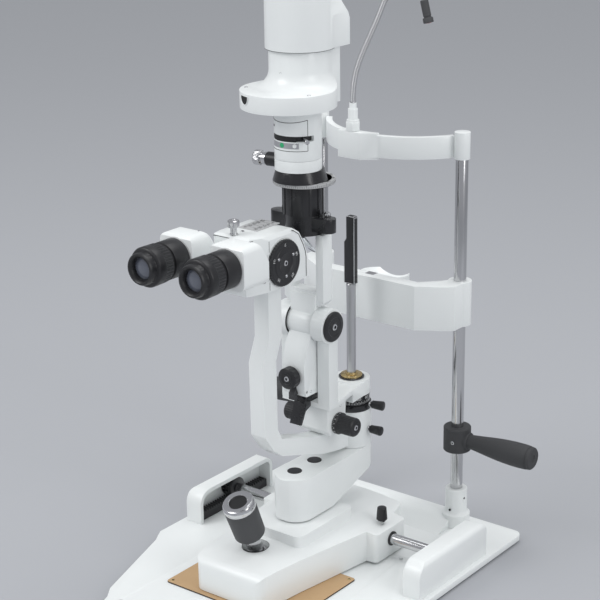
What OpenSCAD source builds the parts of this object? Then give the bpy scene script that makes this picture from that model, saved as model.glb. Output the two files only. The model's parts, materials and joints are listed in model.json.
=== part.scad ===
// Slit lamp: a table-top eye microscope with a swinging lamp tower, on a joystick-driven slide.
// Millimetres, +Z up. The origin is the middle of the footprint at table level.
// The operator sits at -Y, the patient at +Y, and +X is the operator's right.

/* [Base] */
// Width of the base plate
plate_w = 390; // [384:1:396]
// Depth of the base plate
plate_d = 495; // [493:1:500]
// Thickness of the base plate
plate_t = 7.5; // [7:0.5:8]
// Height of the rubber feet
foot_h = 2.5; // [2:0.5:3]
// Diameter of each rubber foot
foot_d = 40; // [30:1:44]
// Table screw spacing across the base
screw_span_x = 215; // [210:1:220]
// Table screw spacing front to back
screw_span_y = 291.5; // [285:0.5:295]
// Table screw hole diameter
screw_hole_d = 5.5; // [4:0.5:7]

/* [Head rest] */
// Distance between the two pillar axes
pillar_gap = 218; // [216:1:220]
// Pillar diameter
pillar_d = 16; // [14:1:17]
// Distance of the pillars behind the origin
pillar_y = 218; // [217:1:219]
// Height of the pillar tops
pillar_top = 540; // [535:1:545]
// Height of the forehead band's lower edge
band_z = 510; // [509:1:512]
// Height of the forehead band
band_h = 28; // [24:1:28]
// Height of the chin bracket's lower edge
bracket_z = 293.5; // [292:0.5:295]
// Height of the chin bracket
bracket_h = 58.5; // [56:0.5:59]
// Front face of the chin bracket beam
bracket_y = 162; // [161.8:0.1:162.4]
// Height of the hand grips
grip_z = 134; // [126:1:142]

/* [Running gear] */
// Distance of the axle behind the origin
axle_y = 92; // [91:0.5:93]
// Height of the axle
axle_z = 35; // [34.9:0.1:35.4]
// Outer diameter of the axle tube
tube_d = 14; // [13:0.5:15]
// Diameter of the wheel spindle inside the tube
spindle_d = 9; // [8:0.5:9.5]
// Gear module of the racks and pinions
gear_module = 1.5; // [1.5:0.1:1.5]
// Teeth on each pinion
pinion_teeth = 16; // [16:1:16]

/* [Slide] */
// Underside height of the slide base
slide_z = 13; // [12.8:0.1:14]
// Crown height of the slide base
slide_top = 60; // [58:1:61]
// Top height of the raised pad
pad_top = 73; // [72:0.5:73.5]

/* [Joystick] */
// Lean of the joystick toward the operator
stick_lean = 23; // [22:0.5:24]
// Length of the rubber grip
grip_len = 48; // [44:1:50]
// Largest diameter of the rubber grip
stick_d = 41; // [38:0.5:41]

/* [Column] */
// Distance of the swing pivot behind the origin
pivot_y = 133; // [132.8:0.1:133.2]
// Pedestal underside height
pedestal_z = 75; // [75:0.5:77]
// Pedestal top height
pedestal_top = 132; // [131:0.5:132]
// Diameter of the pivot post
post_d = 22; // [20:0.5:22]
// Top height of the focusing test rod
rod_top = 439; // [430:1:450]

/* [Microscope] */
// Height of the optical axis
optic_z = 426; // [424:1:427]
// Distance from the pivot to the front of the microscope body
scope_front = 133; // [132:0.5:134]
// Half the distance between the eyepieces
eye_off = 38; // [37:0.5:39]
// Height of the eyepiece axes
eye_z = 450.5; // [450:0.5:452]
// Diameter of the eyepieces
eyepiece_d = 45; // [44:0.5:46]

/* [Lamp arm] */
// Distance from the pivot to the tilt hinge
hinge_out = 90; // [89.5:0.5:90.5]
// Height of the tilt hinge
hinge_z = 325; // [324:0.5:326]
// Distance from the pivot to the slit tube axis
tube_out = 105; // [104.5:0.5:105.5]
// Radius of the slit tube
tube_r = 28.3; // [27:0.1:28.5]
// Radius of the lamp house flange
flange_r = 57; // [55:0.5:58]
// Top height of the lamp cap
cap_top = 760; // [740:1:765]

/* [Hidden] */
$fn = 96;

white = "whitesmoke";
black = [0.08, 0.08, 0.09];
steel = [0.72, 0.73, 0.75];
grey = [0.30, 0.31, 0.32];

fit = 0.05;
gap = 0.3;
plate_top = foot_h + plate_t;
pillar_x = pillar_gap / 2;
pillar_r = pillar_d / 2;
hinge_y = -hinge_out;
tower_y = -tube_out;

// Running gear
gear_pitch = PI * gear_module;
pinion_r = gear_module * pinion_teeth / 2;
rack_pitch_z = axle_z - pinion_r;
tooth_fill = 0.45;
guard_x0 = 163;
guard_x1 = 188;
guard_wall = 5.5;
guard_y0 = 14;
guard_y1 = 167;
guard_top = 56;
rack_x0 = 169;
rack_x1 = 179;

// Chin rest drive: a pinion inside the beam lifts the post by its rack
chin_module = 0.8;
chin_teeth = 10;
chin_pinion_r = chin_module * chin_teeth / 2;
chin_shaft_y = bracket_y + 6.2;
chin_shaft_z = bracket_z + 10.5;
chin_rack_y = chin_shaft_y + chin_pinion_r;
post_back_y = bracket_y + 20;

// Joystick gimbal centre
stick_x = -4;
stick_y = -61;
stick_z = 50;
hole_r = 16.5;

// Microscope
scope_base = 400;
scope_top = 469;
scope_w = 34;
drum_out = 181;
drum_z = 430;
screw_out = 227;
scope_back = 236;
pd_off = 15;
pd_z = 432;
prism_front = 240;
prism_back = 284;
prism_base = 425;
prism_top = 476.5;

// Lamp tower
ear_in = 19.2;
ear_out = 37;
barrel_out = 97;
turret_z = 522;
housing_z = 536;
flange_z = 600;
neck_z = 621;
cap_z = 666;
neck_out = 99;

// ---------- shared shapes ----------

function arc(cx, cy, r, a0, a1, n) =
    [for (i = [0:n]) [cx + r * cos(a0 + (a1 - a0) * i / n), cy + r * sin(a0 + (a1 - a0) * i / n)]];

function mirrored(half) = concat(half, [for (i = [len(half) - 1:-1:0]) [-half[i][0], half[i][1]]]);

// Turns a list of [distance from the pivot, height] into [y, z]
function outward(points) = [for (p = points) [-p[0], p[1]]];

function involute(a) = tan(a) * 180 / PI - a;

// Half the angle of a gear tooth at radius r
function half_tooth(r, base_r, n) =
    tooth_fill * 180 / n + involute(20) - involute(acos(min(1, base_r / max(r, base_r))));

// Outline of a spur gear whose first tooth points straight down
function gear_outline(m, n, tip, root) =
    let (pitch = m * n / 2, base = pitch * cos(20), radii = [pitch - root, base, pitch, pitch + tip])
    [for (i = [0:n - 1], side = [-1, 1], k = [0:3])
        let (j = side < 0 ? k : 3 - k, r = radii[j], a = -90 + i * 360 / n + side * half_tooth(r, base, n))
        [r * cos(a), r * sin(a)]];

// Teeth of a rack as [along, height], with a gap centred on zero
function rack_teeth(m, tip, root, from, to) =
    let (p = PI * m, w = tooth_fill * p / 2, w_tip = w - tip * tan(20), w_root = w + root * tan(20))
    [for (i = [ceil((from + w_root) / p - 0.5):floor((to - w_root) / p - 0.5)], k = [0:3])
        let (c = (i + 0.5) * p)
        [c + [-w_root, -w_tip, w_tip, w_root][k], (k == 1 || k == 2) ? tip : -root]];

module rod_x(r, x0, x1, y = 0, z = 0) {
    translate([x0, y, z]) rotate([0, 90, 0]) cylinder(r = r, h = x1 - x0);
}

module rod_y(r, y0, y1, x = 0, z = 0) {
    translate([x, y1, z]) rotate([90, 0, 0]) cylinder(r = r, h = y1 - y0);
}

module rod_z(r, z0, z1, x = 0, y = 0) {
    translate([x, y, z0]) cylinder(r = r, h = z1 - z0);
}

module box(x0, x1, y0, y1, z0, z1) {
    translate([x0, y0, z0]) cube([x1 - x0, y1 - y0, z1 - z0]);
}

// A prism along X from a list of [y, z]
module side_prism(points, x0, x1) {
    translate([x0, 0, 0]) rotate([90, 0, 90]) linear_extrude(x1 - x0) polygon(points);
}

// A prism along Y from a list of [x, z]
module front_prism(points, y0, y1) {
    translate([0, y1, 0]) rotate([90, 0, 0]) linear_extrude(y1 - y0) polygon(points);
}

module both_sides() {
    children();
    mirror([1, 0, 0]) children();
}

// A rectangle with rounded corners, centred
module rounded(w, h, r) {
    polygon(concat(arc(w / 2 - r, h / 2 - r, r, 0, 90, 6), arc(r - w / 2, h / 2 - r, r, 90, 180, 6),
        arc(r - w / 2, r - h / 2, r, 180, 270, 6), arc(w / 2 - r, r - h / 2, r, 270, 360, 6)));
}

// The arm frame: the pivot is the origin and the arms point along -Y
module at_pivot() {
    translate([0, pivot_y, 0]) children();
}

// A tapered hand knob along +Z, with its screw below zero
module tapered_knob(screw_r, screw_len, r0, r1, h, neck) {
    rotate_extrude() polygon(concat([[0, -screw_len], [screw_r, -screw_len], [screw_r, 0],
        [r0 * 0.6, 0], [r0 * 0.6, neck], [r0, neck + 1]],
        arc(r1 - 1.5, h - 1.5, 1.5, 0, 90, 4), [[0, h]]));
}

module round_slab(w, d, r, z0, z1) {
    translate([0, 0, z0]) linear_extrude(z1 - z0) {
        square([w - 2 * r, d], center = true);
        square([w, d - 2 * r], center = true);
        for (x = [-1, 1], y = [-1, 1]) translate([x * (w / 2 - r), y * (d / 2 - r)]) circle(r);
    }
}

// ---------- base ----------

plate_half = concat(
    arc(plate_w / 2 - 12, plate_d / 2 - 12, 12, 90, 0, 8),
    [[plate_w / 2, -32], [190, -42], [183, -54], [177, -72], [158, -130], [140, -185]],
    arc(69.7, 60 - plate_d / 2, 60, -15, -90, 14));

module table_screws(r, z0, z1) {
    for (x = [-1, 1], y = [-1, 1])
        rod_z(r, z0, z1, x * screw_span_x / 2, y * screw_span_y / 2 - 54);
}

module base_plate() {
    color(white) difference() {
        translate([0, 0, foot_h]) linear_extrude(plate_t) polygon(mirrored(plate_half));
        table_screws(screw_hole_d / 2, foot_h - 1, plate_top + 1);
    }
}

module rubber_feet() {
    color(black) both_sides() {
        rod_z(foot_d / 2, 0, foot_h, 160, 215);
        rod_z(foot_d / 2, 0, foot_h, 75, -222);
    }
}

module friction_plate() {
    color([0.42, 0.30, 0.18]) translate([0, -60, 0]) round_slab(188, 144, 4, plate_top, plate_top + 2);
}

module gear_racks() {
    outline = concat([[20 - axle_y, plate_top - rack_pitch_z], [20 - axle_y, -gear_module * 1.25]],
        rack_teeth(gear_module, gear_module, gear_module * 1.25, 20 - axle_y, 161 - axle_y),
        [[161 - axle_y, -gear_module * 1.25], [161 - axle_y, plate_top - rack_pitch_z]]);
    color(black) both_sides()
        translate([0, axle_y, rack_pitch_z]) side_prism(outline, rack_x0, rack_x1);
}

function guard_outline(inset) = concat([[guard_y0 + inset, plate_top]],
    arc(guard_y0 + 20, guard_top - 20, 20 - inset, 180, 90, 8),
    arc(guard_y1 - 14, guard_top - 14, 14 - inset, 90, 0, 8),
    [[guard_y1 - inset, plate_top]]);

module rail_guards() {
    color(white) both_sides() difference() {
        intersection() {
            side_prism(guard_outline(0), guard_x0, guard_x1);
            front_prism(concat([[guard_x0 - 1, plate_top], [guard_x0 - 1, guard_top + 1]],
                arc(guard_x1 - 7, guard_top - 7, 7, 90, 0, 6), [[guard_x1, plate_top]]), guard_y0, guard_y1);
        }
        side_prism(guard_outline(guard_wall), guard_x0 - 1, guard_x1 - guard_wall);
    }
}

module rear_bar() {
    socket = concat([[0, plate_top], [18, plate_top]], arc(20.5, 34, 6, 250, 180, 6), [[14.5, 63]],
        [[13.5, 64], [0, 64]]);
    color(white) difference() {
        union() {
            side_prism([[176, plate_top], [203, 24], [212, 27], [224, 27], [228, 24], [228, plate_top]],
                -pillar_x, pillar_x);
            both_sides() translate([pillar_x, pillar_y, 0]) rotate_extrude() polygon(socket);
        }
        both_sides() rod_z(pillar_r + fit, plate_top + 2, 65, pillar_x, pillar_y);
        both_sides() for (h = [[-60, 36], [20, 52]])
            translate([pillar_x, pillar_y, h[1]]) rotate([0, 90, h[0] - 30]) cylinder(r = 1.6, h = 20);
    }
}

// ---------- head rest ----------

module pillars() {
    color(steel) both_sides() rod_z(pillar_r, plate_top + 2, pillar_top, pillar_x, pillar_y);
}

band_r = 116;
band_cy = 276;
plug_x = -15;
plug_y = 165;

module band_sector(r_out, r_in, z0, z1, half_angle) {
    translate([0, band_cy, z0]) rotate([0, 0, 270 - half_angle])
        rotate_extrude(angle = 2 * half_angle) translate([r_in, 0]) square([r_out - r_in, z1 - z0]);
}

module forehead_band() {
    color(white) difference() {
        union() {
            band_sector(band_r, band_r - 8, band_z, band_z + band_h, 59);
            both_sides() rod_z(10, band_z, band_z + band_h + 6, pillar_x, pillar_y);
            difference() {
                translate([0, 0, band_z - 3]) linear_extrude(band_h + 6)
                    polygon([[-32, 150], [2, 150], [20, 163], [20, 174], [-32, 174]]);
                rod_z(band_r - 4, band_z - 4, band_z + band_h + 4, 0, band_cy);
            }
        }
        both_sides() rod_z(pillar_r + fit, band_z - 4, pillar_top, pillar_x, pillar_y);
        rod_z(4 + fit, band_z + 15, band_z + band_h + 4, plug_x, plug_y - 6);
    }
}

module forehead_pad() {
    color(black) band_sector(band_r - 8.02, band_r - 13, band_z + 2, band_z + band_h - 2, 42);
}

module chin_bracket() {
    front = [[120, 218], [120, 190], [112, 183], [77, bracket_y]];
    back = [[70, bracket_y + 18], [92, 203], [97, 212], [109, 218]];
    color(white) difference() {
        union() {
            translate([0, 0, bracket_z]) linear_extrude(bracket_h)
                polygon(concat(front, [for (i = [len(front) - 1:-1:0]) [-front[i][0], front[i][1]]],
                    [for (i = [len(back) - 1:-1:0]) [-back[i][0], back[i][1]]], back));
            both_sides() rod_z(15, bracket_z, bracket_z + bracket_h, pillar_x, pillar_y);
        }
        both_sides() rod_z(pillar_r + fit, bracket_z - 1, bracket_z + bracket_h + 1, pillar_x, pillar_y);
        box(-7, 7, chin_rack_y - 1, bracket_y + 19, bracket_z - 1, bracket_z + bracket_h + 1);
        rod_x(5.2, -5.5, 5.5, chin_shaft_y, chin_shaft_z);
        rod_x(2.5 + fit, -100, 5, chin_shaft_y, chin_shaft_z);
        rod_x(12.5, -130, -95, chin_shaft_y, chin_shaft_z);
    }
}

module hand_grips() {
    grip = [[0, 12], [9, 12], [9, 22], [10.5, 34], [14, 58], [15.8, 80], [16, 104], [15, 112],
        [13.5, 114], [0, 114]];
    color(black) both_sides() difference() {
        translate([pillar_x, pillar_y, 0]) {
            rod_z(18, grip_z - 16, grip_z + 18);
            translate([0, 0, grip_z]) rotate([0, 90, 0]) rotate_extrude() polygon(grip);
        }
        rod_z(pillar_r + fit, grip_z - 20, grip_z + 22, pillar_x, pillar_y);
    }
}

module chin_post() {
    low = bracket_z + 0.5;
    high = bracket_z + bracket_h;
    teeth = rack_teeth(chin_module, 0.6, 1, low - chin_shaft_z, high - chin_shaft_z);
    color(steel) intersection() {
        side_prism(concat([[post_back_y, low]], [for (t = teeth) [chin_rack_y - t[1], chin_shaft_z + t[0]]],
            [[post_back_y, high]]), -7 + fit, 7 - fit);
        box(-10, 10, chin_rack_y - 2, post_back_y, low, high);
    }
}

module chin_cup() {
    cup_y = 208;
    cup_z = bracket_z + 36;
    color(white) difference() {
        intersection() {
            rod_z(32, cup_z - 5, cup_z + 18, 0, cup_y);
            box(-32, 32, cup_y - 20, cup_y + 22, cup_z - 6, cup_z + 18);
        }
        translate([0, cup_y + 4, cup_z + 48]) sphere(r = 46);
    }
    color(white) box(-7, 7, post_back_y, cup_y - 19, cup_z - 5, cup_z + 3);
}

module chin_knob() {
    color(black) {
        translate([0, chin_shaft_y, chin_shaft_z])
            side_prism([for (p = gear_outline(chin_module, chin_teeth, 0.6, 0.9)) [-p[1], p[0]]], -5, 5);
        rod_x(2.5, -98, 5, chin_shaft_y, chin_shaft_z);
        translate([-97, chin_shaft_y, chin_shaft_z]) rotate([0, -90, 0]) rotate_extrude()
            polygon([[0, 0], [10, 0], [11, 1.5], [11, 13], [9.5, 15], [0, 15]]);
    }
}

// ---------- fixation lamp ----------

// One point of a cubic curve through its end points a and d, shaped by b and c
function bezier(a, b, c, d, t) =
    a * pow(1 - t, 3) + b * 3 * t * pow(1 - t, 2) + c * 3 * pow(t, 2) * (1 - t) + d * pow(t, 3);

neck_start = [plug_x, plug_y - 6, band_z + 66];
neck_mid = [22, 172, 700];
neck_lamp = [62, 200, 704];
neck_rise = [22, 7, 60];
neck_fall = [7, 0, -26];
neck_path = concat(
    [for (i = [0:9]) bezier(neck_start, neck_start + [0, 0, 50], neck_mid - neck_rise, neck_mid, i / 10)],
    [for (i = [0:12]) bezier(neck_mid, neck_mid + [12, 5, 32], neck_lamp - neck_fall * 1.2, neck_lamp, i / 12)]);
lamp_dir = neck_fall / norm(neck_fall);

// A round bar from point a to point b
module bar(a, b, r) {
    d = b - a;
    translate(a) rotate([0, acos(d[2] / norm(d)), atan2(d[1], d[0])]) cylinder(r = r, h = norm(d));
}

module fixation_plug() {
    color(white) translate([plug_x, plug_y - 6, band_z + band_h + 3]) {
        rod_z(4, -15, 0.3);
        translate([0, 0, 0.3]) cylinder(r = 9.5, h = 11, $fn = 6);
        rod_z(8, 11.3, 14);
        rod_z(6.2, 14, 28);
        rod_z(4.6, 28, 35);
    }
}

module fixation_gooseneck() {
    color(steel) {
        for (i = [0:len(neck_path) - 2]) bar(neck_path[i], neck_path[i + 1], 3.35, $fn = 12);
        for (i = [1:len(neck_path) - 2]) translate(neck_path[i]) sphere(r = 3.3, $fn = 12);
    }
}

module fixation_lamp() {
    color(grey) {
        bar(neck_lamp, neck_lamp + lamp_dir * 22, 5);
        bar(neck_lamp + lamp_dir * 21, neck_lamp + lamp_dir * 29, 6.4);
    }
}

// ---------- running gear ----------

module axle_tube() {
    color(steel) difference() {
        rod_x(tube_d / 2, -162.5, 162.5, axle_y, axle_z);
        rod_x(spindle_d / 2 + fit, -163, 163, axle_y, axle_z);
    }
}

module wheel_set() {
    color(black) translate([0, axle_y, axle_z]) {
        rod_x(spindle_d / 2, -182, 182);
        both_sides() {
            side_prism(gear_outline(gear_module, pinion_teeth, gear_module, gear_module * 1.25),
                rack_x0, rack_x1);
            rod_x(14.5, 164, rack_x0 - 0.4);
            rod_x(6, 163.2, 164);
            rod_x(13.2, rack_x1 + 0.6, 182);
            rod_x(9, rack_x0 - 0.4, rack_x1 + 0.6);
        }
    }
}

// ---------- slide ----------

slide_half = concat([[0, 150], [62, 150]], arc(62, 142, 8, 90, 20, 4), [[75, 122], [88, 122]],
    arc(89, 118, 4, 90, 0, 3), [[93, 66]], arc(87, 64, 6, 0, -90, 4), [[78, 57], [61, -57], [55, -108]],
    arc(39, -110, 15, 0, -90, 6), [[0, -125]]);

module slide_base() {
    crown = concat([[-94, slide_z]], [for (x = [-94:94 / 8:94]) [x, slide_top - 9 * pow(x / 94, 2)]],
        [[94, slide_z]]);
    front = concat([[-125, slide_z]], arc(-111, 42, 14, 180, 105, 5), [[-60, slide_top], [152, slide_top + 1],
        [152, slide_z]]);
    color(white) difference() {
        union() {
            intersection() {
                translate([0, 0, slide_z]) linear_extrude(slide_top - slide_z + 1) polygon(mirrored(slide_half));
                front_prism(crown, -126, 151);
                side_prism(front, -94, 94);
            }
            translate([0, 19, 0]) round_slab(90, 114, 10, slide_top - 12, pad_top);
            rod_z(12, plate_top + 2.1, slide_z, stick_x, -64);
        }
        rod_x(tube_d / 2 + fit, -95, 95, axle_y, axle_z);
        rod_z(14 + fit, 20, pad_top + 1, 0, 30);
        rod_z(hole_r, 25, pad_top, stick_x, -64);
        rod_y(2 + fit, stick_y - 20, stick_y + 20, stick_x, stick_z);
        rod_z(3 + fit, 44, slide_top, 80, 88);
    }
}

module slide_lock_knob() {
    color(black) translate([80, 88, 54 + 4]) tapered_knob(3, 13, 7, 6, 19, 1.5);
}

// ---------- joystick ----------

module at_stick() {
    translate([stick_x, stick_y, stick_z]) rotate([stick_lean, 0, 0]) children();
}

module joystick_gimbal() {
    color(steel) translate([stick_x, stick_y, stick_z]) difference() {
        union() {
            rod_z(12.5, -4, 4);
            rod_y(2, -19, 19);
        }
        rod_z(9, -5, 5);
        rod_x(2 + fit, -14, 14);
    }
}

module joystick_stem() {
    color(steel) at_stick() {
        sphere(r = 8);
        rod_x(2, -12.3, 12.3);
        rod_z(4, -17, 0);
        rod_z(6, 0, 12);
        difference() {
            rod_z(10, 12, 33.7);
            rod_y(1.6, -11, -5, 0, 24);
        }
        rod_z(7, 33.7, 34 + grip_len - 3);
    }
}

module joystick_grip() {
    top = 34 + grip_len;
    color(grey) at_stick() rotate_extrude() polygon(concat(
        [[7 + fit, 34], [stick_d / 2 - 1.3, 34], [stick_d / 2, top - 3], [stick_d / 2 - 1, top],
        [stick_d / 2 - 2, top + 5], [stick_d / 2 - 4, top + 7], [12, top + 7], [11, top + 3], [0, top + 3],
        [0, top - 2.9], [7 + fit, top - 2.9]]));
}

// ---------- column ----------

module pedestal() {
    color(white) difference() {
        intersection() {
            translate([0, 0, pedestal_z]) linear_extrude(pedestal_top - pedestal_z) {
                translate([0, 12]) circle(26);
                translate([0, pivot_y]) circle(25);
                polygon([[-26, 12], [26, 12], [25, pivot_y], [-25, pivot_y]]);
            }
            side_prism([[-16, pedestal_z + 3], [-13, pedestal_z], [57, pedestal_z], [158, 106], [160, 112],
                [160, pedestal_top - 2], [157, pedestal_top], [-12, pedestal_top], [-15, pedestal_top - 2]],
                -27, 27);
        }
        rod_z(10 + fit, pedestal_z - 1, 95, 0, 30);
        rod_z(post_d / 2 + fit, 107, pedestal_top + 1, 0, pivot_y);
    }
}

module lift_column() {
    color(steel) {
        rod_z(14, 22, pedestal_z, 0, 30);
        rod_z(10, pedestal_z, 95, 0, 30);
    }
}

module pivot_post() {
    color(steel) at_pivot() rotate_extrude() polygon([[0, 107], [post_d / 2, 107], [post_d / 2, 223.3],
        [14, 223.3], [14, 227.5], [8, 227.5], [8, 230], [6 + fit, 230], [6 + fit, 190], [0, 190]]);
}

module test_rod() {
    color(steel) at_pivot() rod_z(6, 191, 350);
    color(black) at_pivot() {
        translate([-8.3, -4, 350]) cube([16.1, 8, 57]);
        translate([-5, -4, 407]) cube([12.8, 8, rod_top - 407]);
    }
}

// ---------- microscope ----------

module microscope_arm() {
    outer = [[0, 136], [40, 137], [72.5, 143], [158.5, 170.5], [175.5, 183], [191.7, 206], [193, 299.5],
        [180.5, 330], [180.5, scope_base]];
    inner = [[156, scope_base], [156, 328], [167.7, 298.5], [167, 208.5], [159.5, 194], [101.5, 175.5],
        [84, 171.5], [60, 167.5], [0, 166.5]];
    color(white) at_pivot() difference() {
        union() {
            rod_z(25.6, pedestal_top + 0.5, 182);
            side_prism(outward(concat(outer, inner)), -11, 11);
        }
        rod_z(post_d / 2 + fit, pedestal_top, 183);
        rotate([0, 0, 3.3]) rod_x(2.5 + fit, 0, 26, 0, 156);
    }
}

module microscope_body() {
    plan = [[scope_w, -scope_front], [scope_w, -205], [28, -226], [24, -scope_back]];
    side = [[scope_front, scope_base], [scope_front, 425], [136, 434], [140, 443.5], [149, 459], [159, 466],
        [170, scope_top], [229, scope_top], [232, 466.5], [232, 450], [scope_back, 447],
        [scope_back, scope_base]];
    half_section = [[0, scope_base], [scope_w, scope_base], [scope_w, 462], [31, 466.5], [15.5, scope_top + 1],
        [0, scope_top + 1]];
    color(white) at_pivot() difference() {
        intersection() {
            translate([0, 0, scope_base]) linear_extrude(scope_top - scope_base + 1) polygon(mirrored(plan));
            side_prism(outward(side), -scope_w - 1, scope_w + 1);
            front_prism(mirrored(half_section), -scope_back - 1, -scope_front + 1);
        }
        rod_y(15 + fit, -scope_front - 6, -scope_front + 1, 0, optic_z);
        rod_y(12, -drum_out, -scope_front, 0, optic_z);
        rod_x(18 + fit, -scope_w - 1, scope_w + 1, -drum_out, drum_z);
        rod_z(2.5 + fit, scope_top - 12, scope_top + 1, 0, -screw_out);
        both_sides() rod_y(8 + fit, -scope_back - 1, -scope_back + 10, pd_off, pd_z);
    }
}

module objective_lens() {
    color(black) at_pivot() difference() {
        rod_y(15, -scope_front - 6, -scope_front + 1.5, 0, optic_z);
        rod_y(11.5, -scope_front - 2, -scope_front + 2, 0, optic_z);
    }
}

module mic_lock_knob() {
    color(grey) at_pivot() rotate([0, 0, 3.3]) translate([26, 0, 156]) rotate([0, 90, 0])
        tapered_knob(2.5, 11, 5.2, 6.2, 20, 3);
}

module magnification_drum() {
    color(black) at_pivot() {
        difference() {
            rod_x(18, -scope_w - gap, scope_w + gap, -drum_out, drum_z);
            for (s = [-1, 1]) rod_y(6.5, -drum_out - 19, -drum_out + 19, s * 12, drum_z);
        }
        both_sides() translate([scope_w + gap, -drum_out, drum_z]) rotate([0, 90, 0]) rotate_extrude()
            polygon([[0, 0], [28, 0], [28, 3.5], [26, 6], [0, 6]]);
    }
}

// Right-hand prism housing: a rounded box that swings on the collar at its inner lower corner
module prism_housing() {
    side = [[prism_front, prism_base], [prism_back, prism_base], [prism_back, 473], [prism_back - 3, prism_top],
        [prism_front + 17, prism_top], [prism_front + 14, 474], [prism_front, 452]];
    difference() {
        union() {
            intersection() {
                translate([eye_off, -prism_front, (prism_base + prism_top) / 2]) rotate([90, 0, 0])
                    linear_extrude(prism_back - prism_front) rounded(48, prism_top - prism_base, 9);
                side_prism(outward(side), 10, 65);
            }
            rod_y(11, -prism_front - 1, -scope_back - gap, pd_off, pd_z);
            rod_y(8, -scope_back - gap, -scope_back + 9, pd_off, pd_z);
        }
        rod_y(12 + fit, -prism_back - 1, -prism_back + 12, eye_off, eye_z);
    }
}

module prism_right() {
    color(white) at_pivot() prism_housing();
}

module prism_left() {
    color(white) at_pivot() mirror([1, 0, 0]) prism_housing();
}

module eyepiece() {
    r = eyepiece_d / 2;
    translate([0, -gap, 0]) rotate([90, 0, 0]) rotate_extrude() polygon([[0, -11], [12, -11], [12, 0],
        [r - 1, 0], [r, 1], [r, 24], [r - 2, 26], [r - 2, 28], [r + 0.8, 29], [r + 1.2, 51], [r, 53], [19, 54],
        [18.5, 61], [16.5, 61.5], [12.5, 57], [12.5, 52], [0, 52]]);
}

module eyepiece_right() {
    color(black) at_pivot() translate([eye_off, -prism_back, eye_z]) eyepiece();
}

module eyepiece_left() {
    color(black) at_pivot() translate([-eye_off, -prism_back, eye_z]) eyepiece();
}

module head_thumbscrew() {
    color(steel) at_pivot() translate([0, -screw_out, scope_top + gap]) rotate_extrude() polygon([[0, -11],
        [2.5, -11], [2.5, 0], [4, 0], [4, 8.5], [7, 9], [7.2, 16], [6, 17.5], [0, 17.5]]);
}

// ---------- lamp arm ----------

module lamp_fork() {
    color(white) at_pivot() difference() {
        union() {
            rod_z(24, 203, 223);
            translate([0, 0, 204]) linear_extrude(18) polygon([[-24, 0], [24, 0], [28, -36], [-28, -36]]);
            translate([0, 0, 216]) linear_extrude(6)
                polygon([[-28, -35], [28, -35], [ear_out, -79], [ear_out, -97], [-ear_out, -97], [-ear_out, -79]]);
            both_sides() {
                box(ear_in, ear_out, -97, -79, 216, hinge_z);
                rod_x(22, ear_in, ear_out, hinge_y, hinge_z);
            }
        }
        rod_z(post_d / 2 + fit, 202, 224);
        rod_x(5 + fit, -38, 38, hinge_y, hinge_z);
    }
}

module slit_drive() {
    color(white) at_pivot() difference() {
        side_prism(outward([[48, 180], [52, 173], [80, 173], [85, 180], [85, 216], [46, 216]]), -25, 25);
        rod_x(3 + fit, -26, 26, -64, 186);
    }
}

module angle_scale() {
    color(black) at_pivot() difference() {
        union() {
            rod_z(25.6, 182 + gap, 190);
            rod_z(23, 190, 203);
        }
        rod_z(post_d / 2 + fit, 182, 204);
        rotate([0, 0, 10.5]) rod_x(2.5 + fit, 0, 26, 0, 189);
    }
}

module tilt_quadrant() {
    sector = concat(arc(hinge_y, hinge_z, 103, 260, 280, 8), arc(hinge_y, hinge_z, 96.3, 280, 260, 8));
    strip = [[-104, 226], [-110, 224], [-113, 216], [-120, 197], [-115.5, 195.5], [-107, 212], [-97, 216],
        [-97, 222]];
    color(black) at_pivot() {
        difference() {
            side_prism(sector, -8, 8);
            for (a = [-8:5:7]) translate([0, hinge_y, hinge_z]) rotate([a, 0, 0]) rod_x(1.4, -9, 9, 0, -96.3);
        }
        side_prism(strip, -8, 8);
    }
}

module hinge_pin() {
    color(black) at_pivot() {
        rod_x(5, -ear_out, ear_out, hinge_y, hinge_z);
        both_sides() translate([ear_out, hinge_y, hinge_z]) rotate([0, 90, 0]) rotate_extrude()
            polygon([[0, 0], [19, 0], [19, 2.5], [17.5, 4], [0, 4]]);
    }
}

module arm_lock_knob() {
    color(grey) at_pivot() rotate([0, 0, 10.5]) translate([26, 0, 189]) rotate([0, 90, 0])
        tapered_knob(2.5, 11, 5.2, 6.2, 20, 3);
}

module slit_knobs() {
    color(black) at_pivot() {
        rod_x(3, -30, 30, -64, 186);
        both_sides() translate([25 + gap, -64, 186]) rotate([0, 90, 0]) rotate_extrude()
            polygon([[0, 0], [14, 0], [14, 5], [12, 6], [12, 27], [10.5, 29], [0, 29]]);
    }
}

module tilt_column() {
    tail = [[92, 236], [117, 236], [121, 246], [121, 276], [115, 300], [105, 316], [76, 316], [84, 300]];
    color(white) at_pivot() difference() {
        union() {
            rod_x(18.5, -ear_in + gap, ear_in - gap, hinge_y, hinge_z);
            side_prism(outward(tail), -17, 17);
            side_prism(outward([[78, 325], [102, 325], [100, 364], [78, 364]]), -ear_in + gap, ear_in - gap);
            front_prism([[-24, 350], [24, 350], [30, 356], [30, 368], [-30, 368], [-30, 356]], -98, -80);
            both_sides() box(19, 30, -98, -80, 360, 441);
        }
        rod_x(5 + fit, -20, 20, hinge_y, hinge_z);
        rod_y(3 + fit, -122, -108, 0, 262);
        rod_x(2 + fit, -18, 18, -116, 242);
        box(-4.5, 4.5, -122, -109, 235, 251);
    }
}

module mirror_plate() {
    color([0.6, 0.7, 0.75]) at_pivot() translate([0, -95, optic_z]) rotate([45, 0, 0])
        box(-9, 9, -1.25, 1.25, -17, 17);
    color(black) at_pivot() side_prism(outward([[98, 441], [106, 441], [108.8, 439], [104.8, 435]]), -6, 6);
}

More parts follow.
